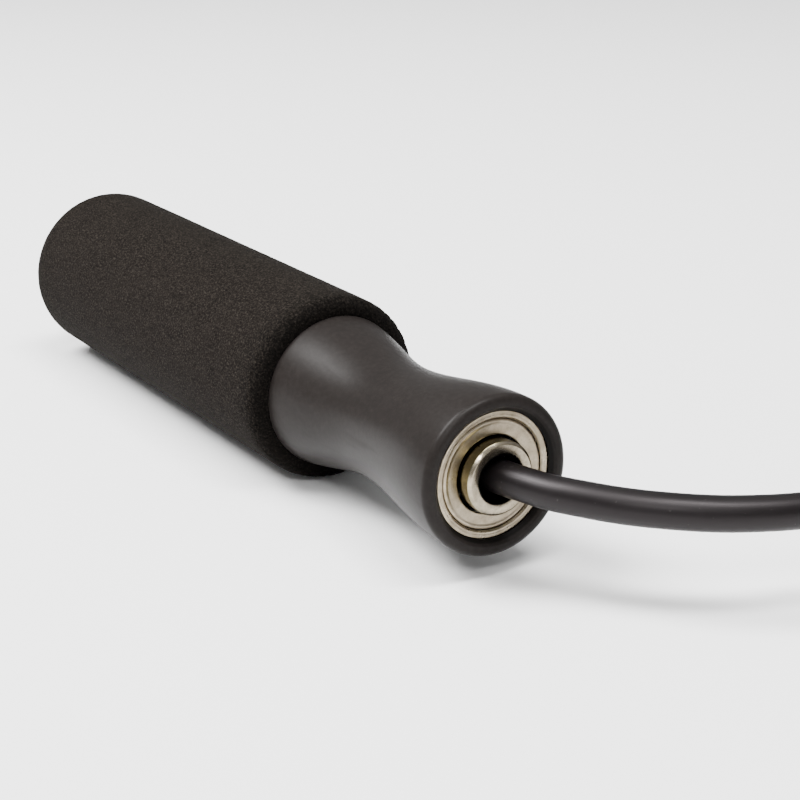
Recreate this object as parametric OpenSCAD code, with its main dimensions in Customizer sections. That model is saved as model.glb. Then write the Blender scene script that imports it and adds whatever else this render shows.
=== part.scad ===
// Bearing jump rope: two foam-covered handles, each on a ball bearing, and one rope.
// The handles lie on a surface, noses to the front. The spare rope is coiled between them.

/* [Handle] */
// Length of a handle, from the front of its rim to the end cap
handle_len = 160; // [150:1:175]
// Diameter of the rounded rim around the bearing
rim_d = 28; // [27:0.1:30]
// Diameter at the narrowest point of the nose
waist_d = 21.8; // [21.4:0.1:24]
// Distance from the rim to the narrowest point
waist_at = 31; // [28:0.5:34]
// Diameter that the shoulder swells towards under the foam
shoulder_d = 29.2; // [28.6:0.1:30]
// Distance from the rim to the shoulder's full size
shoulder_at = 57.5; // [56:0.5:60]
// Radius of the rim's rounded front edge
rim_round = 1.4; // [0.8:0.1:1.4]
// Diameter of the rim's flared mouth, in front of the bearing
mouth_d = 24; // [23:0.1:24.4]
// Diameter of the hollow nose behind the bearing
nose_bore_d = 17; // [16:0.1:17.4]
// Wall of the tube under the foam
tube_wall = 2.8; // [2.2:0.1:3.2]

/* [Foam grip] */
// Outer diameter of the foam sleeve
foam_d = 35.2; // [33:0.1:40]
// Distance from the rim to the front of the foam
foam_at = 52.5; // [51:0.5:55]
// Distance that the end cap stands out of the back of the foam
foam_short = 1; // [0.5:0.1:2]

/* [Bearing] */
// Outside diameter of the ball bearing
bearing_d = 22; // [21.8:0.1:22.4]
// Width of the ball bearing
bearing_w = 7; // [6.8:0.1:7.2]
// Bore of the inner ring
bearing_bore = 8; // [7.8:0.1:8.2]
// Distance that the bearing is set back inside the rim
bearing_recess = 1.3; // [0.8:0.1:1.6]
// Length of inner ring that stands out of the bearing's face
ring_stand_out = 2.4; // [1:0.1:3]
// Diameter of the balls
ball_d = 3.969; // [3.9:0.001:4]
// Number of balls
ball_count = 7; // [6:1:7]

/* [Rope] */
// Diameter of the rope
rope_d = 6; // [5:0.1:6]
// Diameter of the coil at the middle of its turns
coil_mid_d = 68; // [66:1:70]
// Number of layers in the coil
coil_layers = 4; // [3:1:5]
// Number of turns in each layer
layer_turns = 3; // [2:1:4]
// Width of the tie around the coil
tie_w = 14; // [10:1:18]
// Thickness of the tie
tie_t = 1.2; // [1:0.1:1.4]

/* [Layout] */
// Distance between the two noses
nose_spacing = 190; // [186:1:196]
// Angle of each handle from the front-to-back direction
splay = 30; // [28:1:32]

/* [Hidden] */
$fn = 96;
left = -1;
right = 1;

// Handle sections, with the front of the rim at height 0 and the end cap at the top
seat_gap = 0.02;
fit_gap = 0.05;
seat_r = bearing_d / 2 + seat_gap;
seat_depth = bearing_recess + bearing_w;
flare_depth = bearing_recess - 0.3;
nose_bore_end = 46;
tube_start = 52;
cap_flange = 3;
cap_plug = 8;
cap_round = 2;
cap_r = 14;
tube_end = handle_len - cap_flange;
foam_end = handle_len - foam_short;
foam_front_round = 3;
foam_rear_round = 5;
foam_edge = 3.2;
profile_step = 1.5;

function cosine_blend(from, to, t) = from + (to - from) * (1 - cos(180 * t)) / 2;
function nose_r(u) = u < waist_at
    ? cosine_blend(rim_d / 2, waist_d / 2, max(0, (u - rim_round) / (waist_at - rim_round)))
    : cosine_blend(waist_d / 2, shoulder_d / 2, (u - waist_at) / (shoulder_at - waist_at));
tube_r = nose_r(foam_at);
tube_bore_r = tube_r - tube_wall;
foam_bore_r = tube_r + fit_gap;

// Bearing sections, with the bearing's outer face at height 0
ball_r = ball_d / 2;
ball_path_r = 7.5;
race_r = ball_r + 0.045;
outer_land_r = 9;
inner_land_r = 6.4;
shield_seat_r = 9.75;
shield_seat_depth = 0.9;
shield_in = 0.45;
shield_t = 0.3;
shield_hole_r = 6.8;
cage_in_r = 6.9;
cage_out_r = 8.1;
cage_w = 4.6;
pocket_gap = 0.07;
ring_chamfer = 0.3;
inner_chamfer = 0.5;

// Rope fittings behind the bearing
washer_t = 1;
washer_d = 12;
washer_hole = 6.4;
stop_len = 10;
stop_d = 12;
stop_hole = rope_d + 0.1;
screw_r = 1.5;
screw_gap = 0.02;
stop_at = seat_depth + washer_t;

// Coil: square bundle of turns that stands on the tie
pitch = rope_d + 0.2;
coil_x = 20;
coil_y = -37;
turn_out_r = coil_mid_d / 2 + layer_turns * pitch / 2;
turn_in_r = coil_mid_d / 2 - layer_turns * pitch / 2;
coil_w = turn_out_r - turn_in_r + rope_d;
coil_h = (coil_layers - 1) * pitch + rope_d;
coil_front = coil_y - turn_out_r;
bottom_z = tie_t + rope_d / 2;
top_z = tie_t + coil_h - rope_d / 2;
coil_round = rope_d / 2;
tie_angle = tie_w / (coil_mid_d / 2) * 180 / PI;
tie_turn = 90;

// Layout: the foam rests on the surface and the two handles are centred on the origin
axis_h = foam_d / 2;
front_reach = (rim_d / 2 - rim_round) * sin(splay) + rim_round - rim_round * cos(splay);
foam_corner = sqrt(pow(foam_rear_round * cos(splay), 2) + pow(foam_edge * sin(splay), 2));
back_reach = (foam_end - foam_rear_round) * cos(splay) + (axis_h - foam_edge) * sin(splay)
    + foam_corner;
nose_y = (front_reach - back_reach) / 2;

// Route of the rope out of each handle: [ahead of the nose, towards the middle, up]
bend_points = [
    [-21.5, 0, 0], [-15, 0, 0], [-9, 0, 0], [-4, 0.2, 0], [1.3, 0.9, 0],
    [5.6, 2.2, -0.1], [9.4, 3.6, -0.2], [12.9, 5.4, -0.2], [19.5, 10, -0.4],
    [25.1, 15.6, -0.6], [29.7, 22.2, -0.9], [33.1, 29.4, -1.1]
];
// From there to the coil, down to its bottom layer: [x, y, z]
lead_a_points = [
    [-45, -81.6, 16.2], [-34, -80.1, 15], [-22, -79.5, 12.6], [-10, -79.6, 9.6],
    [1, -79.9, 6.6], [11, coil_front + 0.1, bottom_z + 0.5], [coil_x, coil_front, bottom_z]
];
// From the top layer of the coil to the other handle: [x, y, z]
lead_b_points = [
    [coil_x, coil_front, top_z], [29, coil_front - 0.1, top_z - 0.4], [38, -80.9, 20.4],
    [46, -81.8, 17.8]
];

function from_nose(side, p) = [
    side * (nose_spacing / 2 - p[0] * sin(splay) - p[1] * cos(splay)),
    nose_y - p[0] * cos(splay) + p[1] * sin(splay),
    axis_h + p[2]
];
function bend(side) = [for (p = bend_points) from_nose(side, p)];
function reversed(list) = [for (i = [len(list) - 1:-1:0]) list[i]];
function unit(v) = v / norm(v);

// Tube swept along a route, with one ring of corners square to the route at each point
tube_sides = 12;
function heading(route, i) =
    unit(route[min(i + 1, len(route) - 1)] - route[max(i - 1, 0)]);
function ring_at(route, i, r) =
    let (
        ahead = heading(route, i),
        across = unit(cross(ahead, [0, 0, 1])),
        above = cross(across, ahead)
    )
    [for (k = [0:tube_sides - 1])
        let (turn = 360 * k / tube_sides)
        route[i] + r * (cos(turn) * across + sin(turn) * above)];

module swept_tube(route, r) {
    rings = len(route);
    corners = [for (i = [0:rings - 1]) each ring_at(route, i, r)];
    sides = [for (i = [0:rings - 2], k = [0:tube_sides - 1])
        let (next = (k + 1) % tube_sides, here = i * tube_sides, there = here + tube_sides)
        [here + k, there + k, there + next, here + next]];
    start_cap = [for (k = [0:tube_sides - 1]) k];
    end_cap = [for (k = [tube_sides - 1:-1:0]) (rings - 1) * tube_sides + k];
    polyhedron(points = corners, faces = concat(sides, [start_cap, end_cap]));
}

// Lays a handle, built upright on its nose, in its place on the surface
module at_handle(side) {
    translate([side * nose_spacing / 2, nose_y, axis_h])
        rotate([0, 0, -side * splay])
            rotate([-90, 0, 0])
                children();
}

// Puts a bearing piece, built from the bearing's face, in the handle's seat
module in_seat() {
    translate([0, 0, bearing_recess])
        children();
}

// Quarter of an ellipse as profile points, from angle a0 to a1
function arc_points(centre, across, along, a0, a1, n = 8) =
    [for (i = [0:n])
        let (a = a0 + (a1 - a0) * i / n)
        centre + [across * cos(a), along * sin(a)]];

// Moulded handle: rounded rim, narrow waist, shoulder and the tube under the foam
module handle_core() {
    nose_points = [for (u = [rim_round:profile_step:foam_at]) [nose_r(u), u]];
    color([0.27, 0.26, 0.26])
        difference() {
            rotate_extrude()
                polygon(concat(
                    [[0, 0]],
                    arc_points([rim_d / 2 - rim_round, rim_round], rim_round, rim_round, -90, 0),
                    nose_points,
                    [[tube_r, foam_at], [tube_r, tube_end], [0, tube_end]]
                ));
            translate([0, 0, -1])
                cylinder(r = seat_r, h = seat_depth + 1);
            translate([0, 0, -0.001])
                cylinder(r1 = mouth_d / 2, r2 = seat_r, h = flare_depth);
            cylinder(d = nose_bore_d, h = nose_bore_end);
            translate([0, 0, nose_bore_end - 0.001])
                cylinder(r1 = nose_bore_d / 2, r2 = tube_bore_r, h = tube_start - nose_bore_end);
            translate([0, 0, tube_start - 0.002])
                cylinder(r = tube_bore_r, h = tube_end);
        }
}

// Foam sleeve with rounded ends
module foam_grip() {
    outer = foam_d / 2;
    color([0.19, 0.17, 0.16])
        rotate_extrude()
            polygon(concat(
                [[foam_bore_r, foam_at]],
                arc_points([outer - foam_front_round, foam_at + foam_front_round],
                    foam_front_round, foam_front_round, -90, 0),
                arc_points([outer - foam_edge, foam_end - foam_rear_round],
                    foam_edge, foam_rear_round, 0, 90),
                [[foam_bore_r, foam_end]]
            ));
}

// Plug for the open end of the tube, with a rounded flange inside the foam's end
module end_cap() {
    plug_r = tube_bore_r - fit_gap;
    color([0.13, 0.13, 0.13])
        difference() {
            rotate_extrude()
                polygon(concat(
                    [[0, tube_end - cap_plug], [plug_r, tube_end - cap_plug],
                        [plug_r, tube_end], [cap_r, tube_end]],
                    arc_points([cap_r - cap_round, handle_len - cap_round],
                        cap_round, cap_round, 0, 90),
                    [[0, handle_len]]
                ));
            translate([0, 0, tube_end - cap_plug - 1])
                cylinder(r = plug_r - 2, h = cap_plug + 1);
        }
}

// Bearing ring blank, with a chamfer on its four corners
module ring_blank(in_r, out_r, from, to, cut) {
    rotate_extrude()
        polygon([
            [in_r, from + cut], [in_r + cut, from],
            [out_r - cut, from], [out_r, from + cut],
            [out_r, to - cut], [out_r - cut, to],
            [in_r + cut, to], [in_r, to - cut]
        ]);
}

// Ball groove, to be cut from a bearing ring
module race_groove() {
    translate([0, 0, bearing_w / 2])
        rotate_extrude()
            translate([ball_path_r, 0])
                circle(r = race_r);
}

module bearing_outer_ring() {
    color([0.72, 0.69, 0.62])
        difference() {
            ring_blank(outer_land_r, bearing_d / 2, 0, bearing_w, ring_chamfer);
            race_groove();
            for (from = [-1, bearing_w - shield_seat_depth])
                translate([0, 0, from])
                    cylinder(r = shield_seat_r, h = shield_seat_depth + 1);
        }
}

module bearing_inner_ring() {
    color([0.75, 0.72, 0.65])
        difference() {
            ring_blank(bearing_bore / 2, inner_land_r, -ring_stand_out, bearing_w, inner_chamfer);
            race_groove();
        }
}

// Thin steel washer that closes one side of the bearing
module shield(from) {
    color([0.7, 0.67, 0.6])
        translate([0, 0, from])
            difference() {
                cylinder(r = shield_seat_r - fit_gap, h = shield_t);
                translate([0, 0, -1])
                    cylinder(r = shield_hole_r, h = shield_t + 2);
            }
}

module front_shield() {
    shield(shield_in);
}

module rear_shield() {
    shield(bearing_w - shield_in - shield_t);
}

// Ring with one round pocket for each ball
module ball_cage() {
    color([0.6, 0.5, 0.3])
        translate([0, 0, bearing_w / 2])
            difference() {
                cylinder(r = cage_out_r, h = cage_w, center = true);
                cylinder(r = cage_in_r, h = cage_w + 2, center = true);
                for (i = [0:ball_count - 1])
                    rotate([0, 0, 360 * i / ball_count])
                        translate([cage_in_r - 1, 0, 0])
                            rotate([0, 90, 0])
                                cylinder(r = ball_r + pocket_gap, h = cage_out_r - cage_in_r + 2);
            }
}

module bearing_balls() {
    color([0.85, 0.85, 0.87])
        translate([0, 0, bearing_w / 2])
            for (i = [0:ball_count - 1])
                rotate([0, 0, 360 * i / ball_count])
                    translate([ball_path_r, 0, 0])
                        sphere(r = ball_r);
}

// Washer between the inner ring and the rope stop
module thrust_washer() {
    color([0.75, 0.75, 0.76])
        translate([0, 0, seat_depth])
            difference() {
                cylinder(d = washer_d, h = washer_t);
                translate([0, 0, -1])
                    cylinder(d = washer_hole, h = washer_t + 2);
            }
}

// Collar clamped on the rope, too large to pull through the inner ring
module rope_stop() {
    color([0.78, 0.63, 0.35])
        translate([0, 0, stop_at])
            difference() {
                cylinder(d = stop_d, h = stop_len);
                translate([0, 0, -1])
                    cylinder(d = stop_hole, h = stop_len + 2);
                translate([0, 0, stop_len / 2])
                    rotate([90, 0, 0])
                        cylinder(r = screw_r + screw_gap, h = stop_d);
            }
}

// Headless screw that grips the rope in its stop
module stop_screw() {
    color([0.3, 0.3, 0.32])
        translate([0, 0, stop_at + stop_len / 2])
            rotate([90, 0, 0])
                translate([0, 0, rope_d / 2 + fit_gap])
                    cylinder(r = screw_r, h = stop_d / 2 - rope_d / 2 - 0.2);
}

module rope_lead_a() {
    color([0.2, 0.19, 0.19])
        swept_tube(concat(bend(left), lead_a_points), rope_d / 2);
}

module rope_lead_b() {
    color([0.2, 0.19, 0.19])
        swept_tube(concat(lead_b_points, reversed(bend(right))), rope_d / 2);
}

// Rounded square that bounds the section of the coil, grown by a margin
module coil_section(margin) {
    corner = coil_round + margin;
    low = -margin;
    w = coil_w + 2 * margin;
    h = coil_h + 2 * margin;
    translate([turn_in_r - rope_d / 2 + low, tie_t + low]) {
        translate([corner, 0])
            square([w - 2 * corner, h]);
        translate([0, corner])
            square([w, h - 2 * corner]);
        for (x = [corner, w - corner], y = [corner, h - corner])
            translate([x, y])
                circle(r = corner);
    }
}

module rope_coil() {
    color([0.2, 0.19, 0.19])
        translate([coil_x, coil_y, 0])
            rotate_extrude()
                coil_section(0);
}

// Strap closed around the bundle at the back of the coil
module coil_tie() {
    color([0.1, 0.1, 0.1])
        translate([coil_x, coil_y, 0])
            rotate([0, 0, tie_turn - tie_angle / 2])
                rotate_extrude(angle = tie_angle)
                    difference() {
                        coil_section(tie_t);
                        coil_section(0);
                    }
}

at_handle(left) handle_core();  // handle_core_a
at_handle(left) foam_grip();  // foam_grip_a
at_handle(left) end_cap();  // end_cap_a
at_handle(left) in_seat() bearing_outer_ring();  // bearing_outer_ring_a
at_handle(left) in_seat() front_shield();  // front_shield_a
at_handle(left) in_seat() rear_shield();  // rear_shield_a
at_handle(left) in_seat() ball_cage();  // ball_cage_a
at_handle(left) in_seat() bearing_balls();  // bearing_balls_a
at_handle(left) in_seat() bearing_inner_ring();  // bearing_inner_ring_a
at_handle(left) thrust_washer();  // thrust_washer_a
at_handle(left) rope_stop();  // rope_stop_a
at_handle(left) stop_screw();  // stop_screw_a
at_handle(right) handle_core();  // handle_core_b
at_handle(right) foam_grip();  // foam_grip_b
at_handle(right) end_cap();  // end_cap_b
at_handle(right) in_seat() bearing_outer_ring();  // bearing_outer_ring_b
at_handle(right) in_seat() front_shield();  // front_shield_b
at_handle(right) in_seat() rear_shield();  // rear_shield_b
at_handle(right) in_seat() ball_cage();  // ball_cage_b
at_handle(right) in_seat() bearing_balls();  // bearing_balls_b
at_handle(right) in_seat() bearing_inner_ring();  // bearing_inner_ring_b
at_handle(right) thrust_washer();  // thrust_washer_b
at_handle(right) rope_stop();  // rope_stop_b
at_handle(right) stop_screw();  // stop_screw_b
rope_lead_a();
rope_lead_b();
rope_coil();
coil_tie();
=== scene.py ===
"""Looks of the bearing jump rope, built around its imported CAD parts.

The object's lengths are written in millimetres and scaled by MM. Lights, floor and UVs are
in metres.
"""

import math

import bmesh
import bpy
from mathutils import Matrix, Vector, noise


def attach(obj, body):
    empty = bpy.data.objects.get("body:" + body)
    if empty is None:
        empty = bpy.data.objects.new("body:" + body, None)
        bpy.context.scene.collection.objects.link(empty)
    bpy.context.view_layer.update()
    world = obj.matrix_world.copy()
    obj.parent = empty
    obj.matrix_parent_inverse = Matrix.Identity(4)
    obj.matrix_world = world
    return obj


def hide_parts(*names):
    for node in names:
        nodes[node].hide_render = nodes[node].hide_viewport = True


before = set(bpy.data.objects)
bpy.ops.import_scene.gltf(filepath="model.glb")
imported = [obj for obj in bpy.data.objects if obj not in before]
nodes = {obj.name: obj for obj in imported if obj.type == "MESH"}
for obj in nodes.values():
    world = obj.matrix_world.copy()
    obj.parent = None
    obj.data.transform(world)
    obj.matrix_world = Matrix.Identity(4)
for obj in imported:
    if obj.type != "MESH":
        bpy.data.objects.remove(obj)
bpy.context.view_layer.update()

MM = 0.001
LEFT, RIGHT = -1, 1
SIDES = {"a": LEFT, "b": RIGHT}

# ---------------------------------------------------------------- layout, as in part.scad
SPLAY = math.radians(30)
NOSE_X = 95
NOSE_Y = -69.348
AXIS_Z = 17.6


def at_handle(side):
    """Frame of one handle: its origin is the front of the rim and +Z runs to the end cap."""
    return (
        Matrix.Translation(Vector((side * NOSE_X, NOSE_Y, AXIS_Z)) * MM)
        @ Matrix.Rotation(-side * SPLAY, 4, "Z")
        @ Matrix.Rotation(math.radians(-90), 4, "X")
    )


def from_nose(side, ahead, inward, up):
    """A point given ahead of a nose, towards the middle and up from its axis, in mm."""
    x = side * (NOSE_X - ahead * math.sin(SPLAY) - inward * math.cos(SPLAY))
    y = NOSE_Y - ahead * math.cos(SPLAY) + inward * math.sin(SPLAY)
    return Vector((x, y, AXIS_Z + up))


# ---------------------------------------------------------------- camera
LENS_MM = 86.85
SENSOR_MM = 36
CAMERA_DOWN = math.radians(18.76)
CAMERA_TURN = math.radians(1.77)
# the nose of handle a along the camera's own axes, in mm
NOSE_FROM_CAMERA = Vector((15.94, -12.62, -314.66))


def add_camera():
    turn, down = CAMERA_TURN, CAMERA_DOWN
    forward = Vector(
        (math.cos(down) * math.sin(turn), math.cos(down) * math.cos(turn), -math.sin(down))
    )
    right = Vector((math.cos(turn), -math.sin(turn), 0))
    above = right.cross(forward)
    axes = Matrix((right, above, -forward)).transposed()
    nose = Vector((LEFT * NOSE_X, NOSE_Y, AXIS_Z))
    data = bpy.data.cameras.new("camera")
    data.lens = LENS_MM
    data.sensor_width = SENSOR_MM
    data.clip_start = 0.01
    data.clip_end = 50
    camera = bpy.data.objects.new("camera", data)
    camera.matrix_world = Matrix.Translation((nose - axes @ NOSE_FROM_CAMERA) * MM) @ axes.to_4x4()
    bpy.context.scene.collection.objects.link(camera)
    bpy.context.scene.camera = camera


add_camera()


# ---------------------------------------------------------------- material helpers
class Material:
    """A Principled material whose constants are set on the shader's own sockets."""

    def __init__(self, name, **constants):
        self.data = bpy.data.materials.new(name)
        self.data.use_nodes = True
        self.tree = self.data.node_tree
        self.shader = self.tree.nodes["Principled BSDF"]
        for socket, value in constants.items():
            self.shader.inputs[socket.replace("_", " ")].default_value = value
        self.coords = self.tree.nodes.new("ShaderNodeTexCoord")

    @property
    def place(self):
        return self.coords.outputs["Object"]

    def node(self, kind, inputs=None, **settings):
        made = self.tree.nodes.new("ShaderNode" + kind)
        for key, value in settings.items():
            setattr(made, key, value)
        for key, value in (inputs or {}).items():
            if isinstance(value, bpy.types.NodeSocket):
                self.tree.links.new(value, made.inputs[key])
            else:
                made.inputs[key].default_value = value
        return made

    def radius(self):
        flat = self.node("VectorMath", {0: self.place, 1: (1, 1, 0)}, operation="MULTIPLY")
        length = self.node("VectorMath", {0: flat.outputs[0]}, operation="LENGTH")
        return length.outputs["Value"]

    def height(self):
        return self.node("SeparateXYZ", {"Vector": self.place}).outputs["Z"]

    def noise(self, scale, detail, rough=0.5, at=None):
        made = self.node(
            "TexNoise",
            {"Vector": at or self.place, "Scale": scale, "Detail": detail, "Roughness": rough},
        )
        return made.outputs["Fac"]

    def cells(self, scale):
        made = self.node("TexVoronoi", {"Vector": self.place, "Scale": scale})
        return made.outputs["Distance"]

    def ramp(self, value, *stops):
        """A colour for each stated value, blended between."""
        made = self.node("ValToRGB", {"Fac": value})
        points = made.color_ramp.elements
        for _ in stops[2:]:
            points.new(0.5)
        for point, (position, colour) in zip(points, stops):
            point.position = position
            point.color = (*colour, 1)
        return made.outputs["Color"]

    def math(self, operation, a, b):
        return self.node("Math", {0: a, 1: b}, operation=operation).outputs[0]

    def spread(self, value, from_low, from_high, low, high):
        """The value's stretch between two limits, moved to run from low to high."""
        made = self.node(
            "MapRange",
            {
                "Value": value,
                "From Min": from_low,
                "From Max": from_high,
                "To Min": low,
                "To Max": high,
            },
        )
        return made.outputs["Result"]

    def mix(self, share, one, other):
        """Colour one with its share of the other; each is a socket or a colour."""
        made = self.node("Mix", data_type="RGBA")
        for socket, value in ((0, share), (6, one), (7, other)):
            if isinstance(value, tuple):
                made.inputs[socket].default_value = (*value, 1)
            else:
                self.tree.links.new(value, made.inputs[socket])
        return made.outputs[2]

    def bump(self, height, depth, strength, below=None):
        """Normal from a height that spans depth in mm, on top of another bump."""
        inputs = {"Height": height, "Distance": depth * MM, "Strength": strength}
        if below:
            inputs["Normal"] = below
        return self.node("Bump", inputs).outputs["Normal"]

    def set(self, socket, value):
        self.tree.links.new(value, self.shader.inputs[socket])


# ---------------------------------------------------------------- mesh helpers
def finish_mesh(name, verts, faces, material, sharp_above, matrix=None, uvs=None):
    """Object from points in metres, with outward normals and smooth shading."""
    mesh = bpy.data.meshes.new(name)
    mesh.from_pydata(verts, [], faces)
    if uvs:
        layer = mesh.uv_layers.new(name="UVMap")
        for loop, uv in enumerate(uvs):
            layer.data[loop].uv = uv
    mesh.materials.append(material.data)
    work = bmesh.new()
    work.from_mesh(mesh)
    bmesh.ops.recalc_face_normals(work, faces=work.faces)
    work.to_mesh(mesh)
    work.free()
    mesh.shade_smooth()
    if sharp_above:
        mesh.set_sharp_from_angle(angle=math.radians(sharp_above))
    made = bpy.data.objects.new(name, mesh)
    bpy.context.scene.collection.objects.link(made)
    if matrix:
        made.matrix_world = matrix
    return made


def arc(centre, across, along, start, end, steps):
    """Profile points on a quarter or other part of an ellipse, angles in degrees."""
    points = []
    for i in range(steps + 1):
        a = math.radians(start + (end - start) * i / steps)
        points.append((centre[0] + across * math.cos(a), centre[1] + along * math.sin(a)))
    return points


def rounded(corners, steps=5):
    """Closed outline from (x, y, radius) corners, each rounded by its radius."""
    outline = []
    count = len(corners)
    for i, (x, y, radius) in enumerate(corners):
        here = Vector((x, y))
        if not radius:
            outline.append((x, y))
            continue
        back = (Vector(corners[i - 1][:2]) - here).normalized()
        on = (Vector(corners[(i + 1) % count][:2]) - here).normalized()
        half = back.angle(on) / 2
        centre = here + (back + on).normalized() * (radius / math.sin(half))
        first = here + back * (radius / math.tan(half)) - centre
        last = here + on * (radius / math.tan(half)) - centre
        swing = first.angle_signed(last)
        for k in range(steps + 1):
            a = -swing * k / steps
            turned = Vector(
                (
                    first.x * math.cos(a) - first.y * math.sin(a),
                    first.x * math.sin(a) + first.y * math.cos(a),
                )
            )
            outline.append(tuple(centre + turned))
    return outline


def lathe(name, profile, segments, material, matrix, sharp_above, shift=None):
    """Closed surface of revolution about local Z from (radius, height) points in mm."""
    verts, faces, rows = [], [], []
    for radius, height in profile:
        row = []
        if radius < 1e-6:
            row.append(len(verts))
            verts.append((0, 0, height * MM))
        else:
            for k in range(segments):
                a = 2 * math.pi * k / segments
                r = radius + (shift(radius, height, a) if shift else 0)
                row.append(len(verts))
                verts.append((r * math.cos(a) * MM, r * math.sin(a) * MM, height * MM))
        rows.append(row)
    on_axis = len(rows[0]) == 1
    pairs = zip(rows, rows[1:] if on_axis else rows[1:] + rows[:1])
    for low, high in pairs:
        for k in range(segments):
            n = (k + 1) % segments
            if len(low) == 1:
                faces.append((low[0], high[n], high[k]))
            elif len(high) == 1:
                faces.append((low[k], low[n], high[0]))
            else:
                faces.append((low[k], low[n], high[n], high[k]))
    return finish_mesh(name, verts, faces, material, sharp_above, matrix)


def dress(piece, body, node):
    """piece stands for a CAD node and rides on its body."""
    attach(piece, body)
    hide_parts(node)
    return piece


# ---------------------------------------------------------------- rope
ROPE_D = 6
PITCH = 6.2
LAYERS = 4
LAYER_TURNS = 3
COIL_X, COIL_Y = 20, -37
COIL_MID_R = 34
COIL_STEPS = 24
LAYER_CLIMB = 0.4
SETTLE_FROM = 0.25
SETTLE_OVER = 0.8
END_TURN = 0.3
ROUTE_STEP = 1.6
TIE_T = 1.2
TIE_TURN = math.radians(90)

# Each end of the rope, as distances ahead of its nose, inward and up
BEND_POINTS = [
    (-21.5, 0, 0), (-15, 0, 0), (-9, 0, 0), (-4, 0.2, 0), (1.3, 0.9, 0),
    (5.6, 2.2, -0.1), (9.4, 3.6, -0.2), (12.9, 5.4, -0.2), (19.5, 10, -0.4),
    (25.1, 15.6, -0.6), (29.7, 22.2, -0.9), (33.1, 29.4, -1.1),
]
# From each bend to the coil
LEAD_A_POINTS = [
    (-45, -81.6, 16.2), (-34, -80.1, 15), (-22, -79.5, 12.6), (-10, -79.6, 9.6),
    (1, -79.9, 6.6), (11, -80.2, 4.7),
]
LEAD_B_POINTS = [(29, -80.4, 22.4), (38, -80.9, 20.4), (46, -81.8, 17.8)]


def smooth(t):
    """0 to 1 as t runs from 0 to 1, flat at both ends and beyond."""
    t = min(1, max(0, t))
    return t * t * (3 - 2 * t)


def coil_point(turn):
    """Point of the rope after this many turns of the coil, anticlockwise from its front."""
    span = 2 * LAYER_TURNS
    inner = COIL_MID_R - (LAYER_TURNS * PITCH) / 2
    radius = inner + PITCH * abs(LAYER_TURNS - turn % span)
    layer = sum(
        smooth((turn - LAYER_TURNS * k) / LAYER_CLIMB + 0.5) for k in range(1, LAYERS)
    )
    angle = 2 * math.pi * turn - math.pi / 2
    # away from the tie under it the bundle settles on the surface
    off_tie = abs(math.remainder(angle - TIE_TURN, 2 * math.pi))
    to_end = min(turn, LAYERS * LAYER_TURNS - turn)
    settle = smooth((off_tie - SETTLE_FROM) / SETTLE_OVER) * smooth(to_end / END_TURN)
    height = TIE_T + ROPE_D / 2 + PITCH * layer - (TIE_T - 0.1) * settle
    return Vector(
        (COIL_X + radius * math.cos(angle), COIL_Y + radius * math.sin(angle), height)
    )


def through(points, step):
    """Points about a step apart on a smooth curve through the given points."""
    padded = [2 * points[0] - points[1], *points, 2 * points[-1] - points[-2]]
    line = []
    for p0, p1, p2, p3 in zip(padded, padded[1:], padded[2:], padded[3:]):
        count = max(1, round((p2 - p1).length / step))
        t0 = 0
        t1 = t0 + math.sqrt((p1 - p0).length)
        t2 = t1 + math.sqrt((p2 - p1).length)
        t3 = t2 + math.sqrt((p3 - p2).length)
        for k in range(count):
            t = t1 + (t2 - t1) * k / count
            a1 = p0.lerp(p1, (t - t0) / (t1 - t0))
            a2 = p1.lerp(p2, (t - t1) / (t2 - t1))
            a3 = p2.lerp(p3, (t - t2) / (t3 - t2))
            b1 = a1.lerp(a2, (t - t0) / (t2 - t0))
            b2 = a2.lerp(a3, (t - t1) / (t3 - t1))
            line.append(b1.lerp(b2, (t - t1) / (t2 - t1)))
    line.append(points[-1])
    return line


def rope_line():
    """Centreline of the whole rope in mm, from inside handle a to inside handle b."""
    bend_a = [from_nose(LEFT, *p) for p in BEND_POINTS]
    bend_b = [from_nose(RIGHT, *p) for p in reversed(BEND_POINTS)]
    coil_steps = LAYERS * LAYER_TURNS * COIL_STEPS
    coil = [coil_point(k / COIL_STEPS) for k in range(coil_steps + 1)]
    lead_a = [Vector(p) for p in LEAD_A_POINTS]
    lead_b = [Vector(p) for p in LEAD_B_POINTS]
    return through(bend_a + lead_a + coil + lead_b + bend_b, ROUTE_STEP)


def tube(name, line, radius, sides, material, shift):
    """Closed tube along a line in mm, with UVs in metres along it and round it."""
    verts, faces, uvs = [], [], []
    ends = [line[0], *line, line[-1]]
    ahead = [(after - before).normalized() for before, after in zip(ends, ends[2:])]
    across = ahead[0].cross(Vector((0, 0, 1))).normalized()
    gone = [0]
    for before, after in zip(line, line[1:]):
        gone.append(gone[-1] + (after - before).length * MM)
    for i, point in enumerate(line):
        across = (across - ahead[i] * across.dot(ahead[i])).normalized()
        above = across.cross(ahead[i])
        for k in range(sides):
            a = 2 * math.pi * k / sides
            r = radius + shift(gone[i], a)
            verts.append((point + (across * math.cos(a) + above * math.sin(a)) * r) * MM)
    round_length = 2 * math.pi * radius * MM
    for i in range(len(line) - 1):
        here, there = i * sides, (i + 1) * sides
        for k in range(sides):
            n = (k + 1) % sides
            faces.append((here + k, here + n, there + n, there + k))
            v0, v1 = round_length * k / sides, round_length * (k + 1) / sides
            uvs += [(gone[i], v0), (gone[i], v1), (gone[i + 1], v1), (gone[i + 1], v0)]
    for first in (0, (len(line) - 1) * sides):
        faces.append(tuple(range(first, first + sides)))
        uvs += [(0.0, 0.0)] * sides
    return finish_mesh(name, verts, faces, material, 60, None, uvs)


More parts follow.
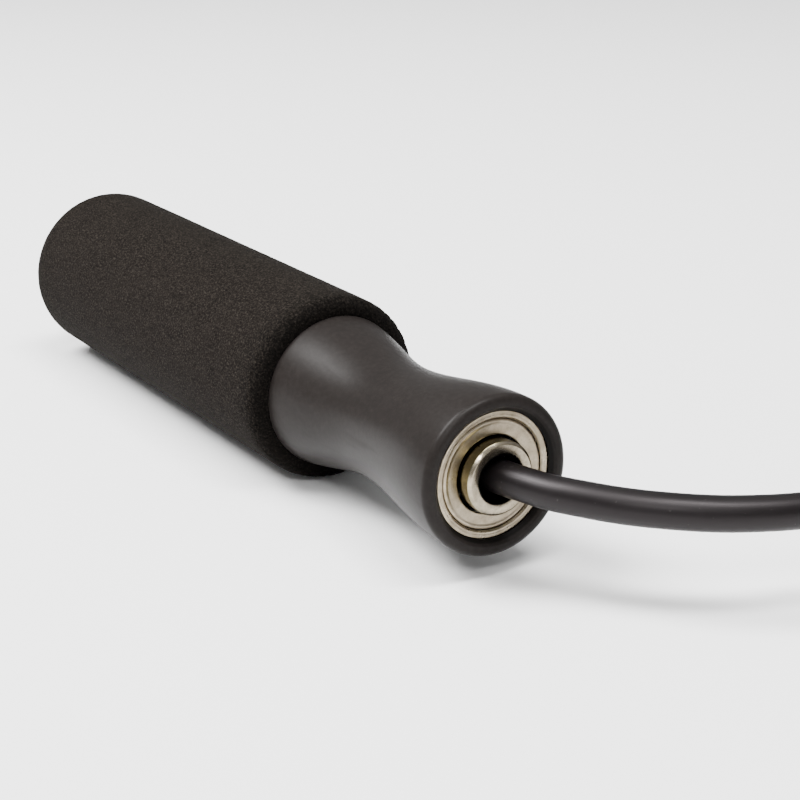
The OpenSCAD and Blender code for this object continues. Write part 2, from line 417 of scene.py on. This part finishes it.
def rope_material():
    """Black plastic rope: fine lengthwise streaks, faint blotches and a little dust."""
    m = Material(
        "rope_plastic", Specular_IOR_Level=0.22, Specular_Tint=(1.0, 0.92, 0.94, 1.0)
    )
    uv = m.coords.outputs["UV"]
    along = m.node("Mapping", {"Vector": uv, "Scale": (60, 2400, 1)}).outputs[0]
    streaks = m.noise(1.0, 3, 0.6, along)
    grain = m.noise(3600, 2, 0.6)
    clouds = m.noise(90, 3)
    dust = m.noise(1900, 0)
    body = m.ramp(clouds, (0.3, (0.0022, 0.0016, 0.0017)), (0.7, (0.0032, 0.0024, 0.0025)))
    body = m.mix(m.spread(dust, 0.8, 0.86, 0, 0.3), body, (0.05, 0.047, 0.045))
    m.set("Base Color", body)
    rough = m.math(
        "MULTIPLY", m.spread(streaks, 0.3, 0.7, 0.38, 0.46), m.spread(clouds, 0.3, 0.7, 0.92, 1.08)
    )
    m.set("Roughness", rough)
    first = m.bump(streaks, 0.03, 0.4)
    m.set("Normal", m.bump(grain, 0.015, 0.4, first))
    return m


SWELL = 0.025
SWELLS_PER_METRE = 55


def rope_swell(gone, angle):
    """Slight unevenness of the rope's radius, in mm, this many metres along it."""
    spot = Vector((gone * SWELLS_PER_METRE, math.cos(angle) * 0.6, math.sin(angle) * 0.6))
    return SWELL * noise.noise(spot)


centreline = rope_line()
rope = tube("rope", centreline, ROPE_D / 2 - 0.03, 20, rope_material(), rope_swell)


# ---------------------------------------------------------------- tie around the coil
TIE_W = 14
STRAP_T = 1.1
STRAP_CORNER = 2.6
STRAP_EDGE = 0.25
STRAP_STEPS = 10
TIE_OVERLAP = 26


def strap_material():
    """Black plain weave with fuzz, greyer where it is worn."""
    m = Material("tie_weave", Roughness=0.9, Specular_IOR_Level=0.15)
    uv = m.coords.outputs["UV"]

    def threads(direction):
        made = m.node(
            "TexWave",
            {"Vector": uv, "Scale": 420, "Distortion": 0.6, "Detail": 1},
            bands_direction=direction,
        )
        return made.outputs["Fac"]

    weave = m.math("MULTIPLY", threads("X"), threads("Y"))
    fuzz = m.noise(3200, 3, 0.65)
    wear = m.noise(160, 3)
    colour = m.ramp(weave, (0.0, (0.002, 0.002, 0.0022)), (1.0, (0.013, 0.0125, 0.0128)))
    colour = m.mix(m.spread(wear, 0.45, 0.75, 0, 0.3), colour, (0.018, 0.017, 0.017))
    m.set("Base Color", colour)
    first = m.bump(weave, 0.18, 0.8)
    m.set("Normal", m.bump(fuzz, 0.06, 0.6, first))
    return m


def strap_path():
    """(radius, height) points a millimetre apart on the strap's inner face, once round.

    They start at the foot of the coil's outer side.
    """
    half = (LAYER_TURNS - 1) * PITCH / 2 + ROPE_D / 2 + 0.05
    low, high = TIE_T, TIE_T + (LAYERS - 1) * PITCH + ROPE_D
    left, right = COIL_MID_R - half, COIL_MID_R + half
    sides = [(right, low), (right, high), (left, high), (left, low)]
    outline = rounded([(r, z, STRAP_CORNER) for r, z in sides], 8)
    middle = (low + high) / 2

    def outer_foot(i):
        r, z = outline[i]
        return (r > right - 0.01, z < middle, z)

    start = max(range(len(outline)), key=outer_foot)
    ordered = outline[start:] + outline[:start]
    dense = []
    for here, there in zip(ordered, ordered[1:] + ordered[:1]):
        here, there = Vector(here), Vector(there)
        count = max(1, round((there - here).length))
        dense += [here.lerp(there, k / count) for k in range(count)]
    return dense


def strap_section():
    """(across, outward) outline of the strap, its corners broken."""
    half, edge = TIE_W / 2, STRAP_EDGE
    across = [-half + TIE_W * k / STRAP_STEPS for k in range(1, STRAP_STEPS)]
    inner = [(-half + edge, 0), *((w, 0) for w in across), (half - edge, 0)]
    outer = [(half - edge, STRAP_T), *((-w, STRAP_T) for w in across), (-half + edge, STRAP_T)]
    right_side = [(half, edge), (half, STRAP_T - edge)]
    left_side = [(-half, STRAP_T - edge), (-half, edge)]
    return inner + right_side + outer + left_side


def strap():
    """Woven strap once round the bundle, its end lying on its own start."""
    loop = strap_path()
    count = len(loop)
    lengths = [(after - here).length for here, after in zip(loop, loop[1:] + loop[:1])]
    total = sum(lengths)
    gone = [0.0]
    while gone[-1] < total + TIE_OVERLAP:
        gone.append(gone[-1] + lengths[(len(gone) - 1) % count])
    gone.pop()

    ring = strap_section()
    size = len(ring)
    verts, faces, uvs = [], [], []
    for n, along in enumerate(gone):
        ahead = (loop[(n + 1) % count] - loop[(n - 1) % count]).normalized()
        out = Vector((ahead.y, -ahead.x))
        lift = (STRAP_T + 0.05) * smooth((along - total + 5) / 5)
        for w, t in ring:
            p = loop[n % count] + out * (lift + t)
            a = TIE_TURN + w / COIL_MID_R
            x = COIL_X + p.x * math.cos(a)
            y = COIL_Y + p.x * math.sin(a)
            verts.append(Vector((x, y, p.y)) * MM)
    for j in range(len(gone) - 1):
        here, there = j * size, (j + 1) * size
        u0, u1 = gone[j] * MM, gone[j + 1] * MM
        for k in range(size):
            n = (k + 1) % size
            faces.append((here + k, here + n, there + n, there + k))
            v0, v1 = ring[k][0] * MM, ring[n][0] * MM
            uvs += [(u0, v0), (u0, v1), (u1, v1), (u1, v0)]
    for j in (0, len(gone) - 1):
        faces.append(tuple(range(j * size, (j + 1) * size)))
        uvs += [(gone[j] * MM, w * MM) for w, _ in ring]
    return finish_mesh("tie_strap", verts, faces, strap_material(), 50, None, uvs)


tie = strap()
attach(rope, "rope")
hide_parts("rope_lead_a", "rope_lead_b", "rope_coil")
dress(tie, "rope", "coil_tie")

# ---------------------------------------------------------------- handle profile, as in part.scad
HANDLE_LEN = 160
RIM_R = 14
WAIST_R = 10.9
WAIST_AT = 31
NOSE_STEP = 0.5
SHOULDER_R = 14.6
SHOULDER_AT = 57.5
RIM_ROUND = 1.4
SEAT_R = 11.02
MOUTH_R = 12
FLARE_DEPTH = 1
SEAT_DEPTH = 8.3
BORE_R = 8.5
BORE_END = 46
TUBE_START = 52
TUBE_WALL = 2.8
TUBE_END = 157
CAP_PLUG = 8
CAP_R = 14
CAP_EDGE = 0.3
CAP_ROUND = 2
CAP_GROOVE = 0.35
FOAM_R = 17.6
FOAM_AT = 52.5
FOAM_END = 159
FOAM_FRONT_ROUND = 3
FOAM_REAR_ROUND = 5
FOAM_EDGE = 3.2


def cosine_blend(start, end, t):
    """From start to end, flat at both, as t runs from 0 to 1."""
    return start + (end - start) * (1 - math.cos(math.pi * t)) / 2


def nose_r(u):
    """Radius of the moulded handle this far behind the front of its rim."""
    if u < WAIST_AT:
        return cosine_blend(RIM_R, WAIST_R, max(0, (u - RIM_ROUND) / (WAIST_AT - RIM_ROUND)))
    return cosine_blend(WAIST_R, SHOULDER_R, (u - WAIST_AT) / (SHOULDER_AT - WAIST_AT))


TUBE_R = nose_r(FOAM_AT)
TUBE_BORE_R = TUBE_R - TUBE_WALL


def plastic_material():
    """Dark grey moulded plastic with faint scuffs, painted shade black down inside the mouth."""
    m = Material("handle_plastic", Specular_IOR_Level=0.07)
    grain = m.noise(3400, 2, 0.6)
    fine = m.noise(1100, 3, 0.6)
    clouds = m.noise(45, 4)
    along = m.node("Mapping", {"Vector": m.place, "Scale": (500, 500, 60)}).outputs[0]
    scuffs = m.noise(1.0, 2, 0.5, along)
    colour = m.ramp(clouds, (0.3, (0.0094, 0.0078, 0.0071)), (0.7, (0.012, 0.01, 0.0092)))
    colour = m.mix(m.spread(fine, 0.4, 0.72, 0, 0.2), colour, (0.026, 0.0225, 0.021))
    # painted shade: the mouth's flare is coloured near black where shade falls in the recess
    inside = m.spread(m.radius(), (MOUTH_R - 0.5) * MM, (MOUTH_R - 0.3) * MM, 1, 0)
    ahead = m.spread(m.height(), (FLARE_DEPTH + 0.5) * MM, (FLARE_DEPTH + 1) * MM, 1, 0)
    colour = m.mix(m.math("MULTIPLY", inside, ahead), colour, (0.003, 0.0024, 0.0021))
    m.set("Base Color", colour)
    rough = m.math(
        "ADD", m.spread(clouds, 0.3, 0.7, 0.35, 0.4), m.spread(scuffs, 0.6, 0.75, 0, 0.06)
    )
    m.set("Roughness", rough)
    first = m.bump(fine, 0.03, 0.3)
    m.set("Normal", m.bump(grain, 0.015, 0.45, first))
    return m


def handle_core(letter, side, material):
    """Moulded handle: rounded rim, waist and shoulder, hollow for the bearing and rope."""
    steps = int((FOAM_AT - RIM_ROUND) / NOSE_STEP)
    heights = [RIM_ROUND + NOSE_STEP * k for k in range(steps + 1)]
    nose = [(nose_r(u), u) for u in heights]
    outer = arc((RIM_R - RIM_ROUND, RIM_ROUND), RIM_ROUND, RIM_ROUND, -90, 0, 10)
    profile = [(SEAT_R, FLARE_DEPTH), (MOUTH_R - 0.08, 0.1), (MOUTH_R, 0.03), (MOUTH_R + 0.08, 0)]
    profile += outer[:-1] + nose + [(TUBE_R, FOAM_AT + 2), (TUBE_R, TUBE_END)]
    profile += [(TUBE_BORE_R, TUBE_END), (TUBE_BORE_R, TUBE_START), (BORE_R, BORE_END)]
    profile += [(BORE_R, SEAT_DEPTH), (SEAT_R, SEAT_DEPTH)]
    core = lathe("nose_and_tube_" + letter, profile, 256, material, at_handle(side), 30)
    return dress(core, "handle_" + letter, "handle_core_" + letter)


def cap_material():
    """Matt black plastic of the end cap."""
    m = Material("cap_plastic", Specular_IOR_Level=0.15)
    clouds = m.noise(120, 3)
    grain = m.noise(2600, 2)
    colour = m.ramp(clouds, (0.3, (0.0055, 0.005, 0.0048)), (0.7, (0.0085, 0.0078, 0.0075)))
    m.set("Base Color", colour)
    m.set("Roughness", m.spread(clouds, 0.3, 0.7, 0.42, 0.58))
    m.set("Normal", m.bump(grain, 0.04, 0.6))
    return m


def end_cap(letter, side, material):
    """Plug with a rounded flange and a shallow moulded ring in its face."""
    plug_r = TUBE_BORE_R - 0.05
    plug_at = TUBE_END - CAP_PLUG
    profile = [(0, TUBE_END + 0.05), (plug_r - 2, TUBE_END), (plug_r - 2, plug_at)]
    profile += [(plug_r - 0.4, plug_at), (plug_r, plug_at + 0.4), (plug_r, TUBE_END)]
    profile += [(CAP_R - 0.4, TUBE_END)]
    profile += arc((CAP_R - CAP_EDGE, TUBE_END + CAP_EDGE), CAP_EDGE, CAP_EDGE, -90, 0, 3)
    profile += arc((CAP_R - CAP_ROUND, HANDLE_LEN - CAP_ROUND), CAP_ROUND, CAP_ROUND, 0, 90, 10)
    groove = [(9.9, 0), (9.6, 0.1), (9.5, CAP_GROOVE), (8.9, CAP_GROOVE), (8.8, 0.1), (8.5, 0)]
    profile += [(r, HANDLE_LEN - depth) for r, depth in groove] + [(0, HANDLE_LEN)]
    cap = lathe("end_plug_" + letter, profile, 160, material, at_handle(side), 35)
    return dress(cap, "handle_" + letter, "end_cap_" + letter)


# ---------------------------------------------------------------- foam
def foam_material():
    """Brown-black foam: speckled skin and pores, open pits and painted shade by the cut front
    edge.
    """
    m = Material("grip_foam", Roughness=1.0, Specular_IOR_Level=0.05)
    speckle = m.noise(2900, 3, 0.7)
    pores = m.cells(2600)
    clouds = m.noise(240, 4, 0.65)
    open_pores = m.noise(2300, 2, 0.7)
    colour = m.ramp(
        speckle,
        (0.36, (0.0016, 0.0013, 0.001)),
        (0.5, (0.0058, 0.0047, 0.0038)),
        (0.66, (0.0245, 0.0205, 0.017)),
    )
    colour = m.mix(m.spread(pores, 0.0, 0.3, 0.6, 0), colour, (0.0026, 0.002, 0.0016))
    colour = m.mix(m.spread(clouds, 0.42, 0.68, 0, 0.3), colour, (0.0105, 0.0086, 0.007))
    height = m.height()
    cut = m.spread(height, (FOAM_AT + 1.5) * MM, (FOAM_AT + 7) * MM, 0.9, 0.0)
    pits = m.math("MULTIPLY", cut, m.spread(open_pores, 0.4, 0.54, 1, 0))
    colour = m.mix(pits, colour, (0.0012, 0.001, 0.0008))
    # the cut front face is darkened, partly for the darker open cells of the cut and partly as
    # painted shade
    cut_edge_shade = m.spread(height, (FOAM_AT + 0.4) * MM, (FOAM_AT + 2.4) * MM, 0.6, 0.0)
    colour = m.mix(cut_edge_shade, colour, (0.0016, 0.0013, 0.0011))
    m.set("Base Color", colour)
    first = m.bump(speckle, 0.16, 0.75)
    m.set("Normal", m.bump(m.math("ADD", pores, pits), 0.1, 0.5, first))
    return m


def foam_grip(letter, side, material):
    """Foam sleeve: fine open pores, ragged where it was cut at the front."""
    seed = Vector((3.7, 1.3, 8.1)) * (side + 2)

    def ragged(radius, height, angle):
        spot = Vector((radius * math.cos(angle), radius * math.sin(angle), height))
        if radius < FOAM_R - FOAM_EDGE - 0.1:
            return 0
        near_cut = 1 - smooth((height - FOAM_AT - 2) / 4)
        pits = max(0, noise.noise(spot * 1.4 + seed)) * 0.38
        pits += max(0, noise.noise(spot * 2.6 + seed)) * 0.24
        skin = 0.035 * (1 + noise.noise(spot * 0.9 + seed))
        skin += 0.04 * (1 + noise.noise(spot * 0.05 + seed))
        return -skin - pits * near_cut

    front = FOAM_FRONT_ROUND
    edge = arc((FOAM_R - front, FOAM_AT + front), front, front, -90, 0, 16)
    rear_at = FOAM_END - FOAM_REAR_ROUND
    rear = arc((FOAM_R - FOAM_EDGE, rear_at), FOAM_EDGE, FOAM_REAR_ROUND, 0, 90, 14)
    straight, at = [], FOAM_AT + front + 0.35
    while at < rear_at - 0.4:
        straight.append((FOAM_R, at))
        at += 0.4 if at < FOAM_AT + 14 else 0.9
    profile = edge + straight + rear + [(TUBE_R + 0.05, FOAM_END), (TUBE_R + 0.05, FOAM_AT)]
    foam = lathe("foam_sleeve_" + letter, profile, 300, material, at_handle(side), None, ragged)
    dress(foam, "handle_" + letter, "foam_grip_" + letter)
    return foam


# ---------------------------------------------------------------- bearing
RECESS = 1.3
WIDTH = 7
STAND_OUT = 2.4
INNER_LAND_R = 6.4
OUTER_LAND_R = 9
BALL_PATH_R = 7.5
BALL_D = 3.969
RACE_R = BALL_D / 2 + 0.045


def metal_material(name, colour, stain, roughness, bore_r=None, wall_r=None):
    """Turned steel: fine rings about the bearing's axis, blotches and a warm stain.

    Painted shade darkens it within bore_r, and it turns dull yellow on the wall at wall_r, both in
    mm.
    """
    m = Material(name, Metallic=1.0, Anisotropic=0.35)
    m.set("Tangent", m.node("Tangent", direction_type="RADIAL", axis="Z").outputs[0])
    radius = m.radius()
    turned = m.node("CombineXYZ", {"X": radius}).outputs[0]
    rings = m.noise(5200, 2, 0.7, turned)
    blotches = m.noise(520, 5, 0.62)
    fine = m.noise(3000, 3, 0.6)
    base = m.mix(m.spread(blotches, 0.4, 0.66, 0, 1), colour, stain)
    shade = m.spread(fine, 0.3, 0.7, 0.0, 0.28)
    base = m.mix(shade, base, tuple(c * 0.45 for c in stain))
    if wall_r:
        wall = m.spread(radius, (wall_r - 0.12) * MM, wall_r * MM, 0, 0.7)
        base = m.mix(wall, base, (0.17, 0.155, 0.075))
    # painted shade: the steel inside the bore is coloured near black
    if bore_r:
        bore_shade = m.spread(radius, bore_r * MM, (bore_r + 0.12) * MM, 1, 0)
        base = m.mix(bore_shade, base, (0.004, 0.004, 0.004))
    m.set("Base Color", base)
    m.set("Roughness", m.spread(blotches, 0.3, 0.75, roughness * 0.8, roughness * 1.3))
    first = m.bump(rings, 0.012, 0.5)
    m.set("Normal", m.bump(fine, 0.018, 0.5, first))
    return m


def race(edge_r, outwards):
    """Ball groove profile between two land edges, top to bottom of the ring."""
    reach = math.sqrt(RACE_R ** 2 - (edge_r - BALL_PATH_R) ** 2)
    spread = math.degrees(math.atan2(reach, abs(edge_r - BALL_PATH_R)))
    middle = 0 if outwards else 180
    centre = (BALL_PATH_R, RECESS + WIDTH / 2)
    return arc(centre, RACE_R, RACE_R, middle - spread, middle + spread, 14)


def seated(corners):
    """(radius, height, rounding) corners moved from the bearing's face to the handle's frame."""
    return [(r, u + RECESS, radius) for r, u, radius in corners]


def bearing(letter, side, steel, bright, shield_steel):
    """Outer ring, inner ring and front shield; only the inner ring turns with the rope."""
    body = "handle_" + letter
    outer = rounded(seated([
        (OUTER_LAND_R, 0.9, 0), (9.68, 0.9, 0.05), (9.68, 0.34, 0.05), (9.98, 0.02, 0.06),
        (10.3, 0.0, 0.02), (10.36, 0.05, 0.02), (10.42, 0.0, 0.02), (11.0, 0.0, 0.1),
        (11.0, 6.7, 0.12), (10.7, 7.0, 0.18), (9.75, 7.0, 0.05), (9.75, 6.1, 0.05),
        (OUTER_LAND_R, 6.1, 0),
    ]))
    profile = outer + list(reversed(race(OUTER_LAND_R, True)))
    piece = lathe("outer_ring_" + letter, profile, 192, steel, at_handle(side), 28)
    dress(piece, body, "bearing_outer_ring_" + letter)

    back = seated([(INNER_LAND_R, 6, 0), (INNER_LAND_R, 7, 0.25), (4, 7, 0.25), (4, 0, 0)])
    inner = [
        *rounded(back)[:-1],
        *arc((4.5, RECESS - STAND_OUT + 0.62), 0.5, 0.45, 180, 262, 6),
        *rounded(seated([
            (4.6, 0.1 - STAND_OUT, 0), (5.9, -STAND_OUT, 0.2),
            (INNER_LAND_R, 0.5 - STAND_OUT, 0.2), (INNER_LAND_R, 1 - STAND_OUT, 0),
        ])),
    ]
    profile = inner + list(reversed(race(INNER_LAND_R, False)))
    piece = lathe("inner_ring_" + letter, profile, 192, bright, at_handle(side), 28)
    dress(piece, "rope", "bearing_inner_ring_" + letter)

    shield = [
        (6.8, 0.72), (6.8, 0.54), (6.88, 0.44), (7.05, 0.42), (8.45, 0.42), (8.75, 0.38),
        (8.95, 0.28), (9.15, 0.24), (9.35, 0.28), (9.52, 0.42), (9.6, 0.56), (9.6, 0.74),
        (9.3, 0.75), (9.1, 0.62), (8.7, 0.7), (7.0, 0.74),
    ]
    profile = [(r, u + RECESS) for r, u in shield]
    piece = lathe("front_cover_" + letter, profile, 192, shield_steel, at_handle(side), 45)
    dress(piece, body, "front_shield_" + letter)


def plain_metal(name, colour, roughness):
    """Metal of a small inside piece, with slight patches."""
    m = Material(name, Metallic=1.0, Roughness=roughness)
    patches = m.noise(600, 3)
    fine = m.noise(2600, 3)
    shade = tuple(c * 0.7 for c in colour)
    m.set("Base Color", m.mix(m.spread(patches, 0.35, 0.7, 0, 1), colour, shade))
    m.set("Roughness", m.spread(fine, 0.3, 0.7, roughness * 0.8, roughness * 1.3))
    m.set("Normal", m.bump(fine, 0.02, 0.3))
    return m


def recolour(node, material):
    """Give a CAD part that stays visible its material."""
    for slot in nodes[node].material_slots:
        slot.material = material.data


plastic = plastic_material()
cap_plastic = cap_material()
foam_skin = foam_material()
ring_steel = metal_material("ring_steel", (0.37, 0.315, 0.235), (0.25, 0.207, 0.147), 0.3)
bright_steel = metal_material(
    "inner_ring_steel", (0.38, 0.33, 0.25), (0.22, 0.188, 0.135), 0.2, bore_r=4.4, wall_r=6.38
)
cover_steel = metal_material("cover_steel", (0.345, 0.293, 0.218), (0.25, 0.207, 0.147), 0.33)
ball_steel = plain_metal("ball_steel", (0.08, 0.08, 0.082), 0.15)
cage_brass = plain_metal("cage_brass", (0.09, 0.063, 0.026), 0.5)
stop_brass = plain_metal("stop_brass", (0.42, 0.3, 0.13), 0.3)
zinc = plain_metal("washer_zinc", (0.35, 0.35, 0.355), 0.32)
black_oxide = plain_metal("screw_black", (0.03, 0.03, 0.032), 0.4)

for letter, side in SIDES.items():
    handle_core(letter, side, plastic)
    end_cap(letter, side, cap_plastic)
    foam_grip(letter, side, foam_skin)
    bearing(letter, side, ring_steel, bright_steel, cover_steel)
    recolour("rear_shield_" + letter, cover_steel)
    recolour("ball_cage_" + letter, cage_brass)
    recolour("bearing_balls_" + letter, ball_steel)
    recolour("thrust_washer_" + letter, zinc)
    recolour("rope_stop_" + letter, stop_brass)
    recolour("stop_screw_" + letter, black_oxide)


# ---------------------------------------------------------------- floor and light
FLOOR_HALF = 4
FLOOR_DROP = 0.0002


def add_floor():
    m = Material("floor_paper", Roughness=0.8)
    m.shader.inputs["Base Color"].default_value = (0.9, 0.9, 0.9, 1)
    half = FLOOR_HALF
    corners = [(-half, -half, 0), (half, -half, 0), (half, half, 0), (-half, half, 0)]
    mesh = bpy.data.meshes.new("floor")
    mesh.from_pydata(corners, [], [(0, 1, 2, 3)])
    mesh.materials.append(m.data)
    floor = bpy.data.objects.new("floor", mesh)
    floor.location.z = -FLOOR_DROP
    bpy.context.scene.collection.objects.link(floor)


def add_light(name, position, target, size, energy):
    data = bpy.data.lights.new(name, "AREA")
    data.shape = "RECTANGLE"
    data.size, data.size_y = size
    data.energy = energy
    light = bpy.data.objects.new(name, data)
    light.location = position
    aim = Vector(target) - Vector(position)
    light.rotation_mode = "QUATERNION"
    light.rotation_quaternion = aim.to_track_quat("-Z", "Y")
    bpy.context.scene.collection.objects.link(light)


def add_world():
    world = bpy.data.worlds.new("studio")
    bpy.context.scene.world = world
    world.use_nodes = True
    background = world.node_tree.nodes["Background"]
    background.inputs["Color"].default_value = (1, 1, 1, 1)
    background.inputs["Strength"].default_value = 0.5


add_floor()
add_world()
add_light("overhead", (0.1, -0.35, 1.4), (0.0, -0.05, 0.0), (0.8, 0.34), 32)
add_light("key_left", (-0.73, 0.05, 0.88), (-0.12, -0.03, 0.03), (0.5, 0.5), 30)
add_light("front", (-0.25, -0.95, 0.8), (-0.1, -0.07, 0.02), (0.25, 0.25), 6)
add_light("ceiling", (0.0, 0.6, 2.6), (0.0, 0.5, 0.0), (3.6, 3.6), 18)
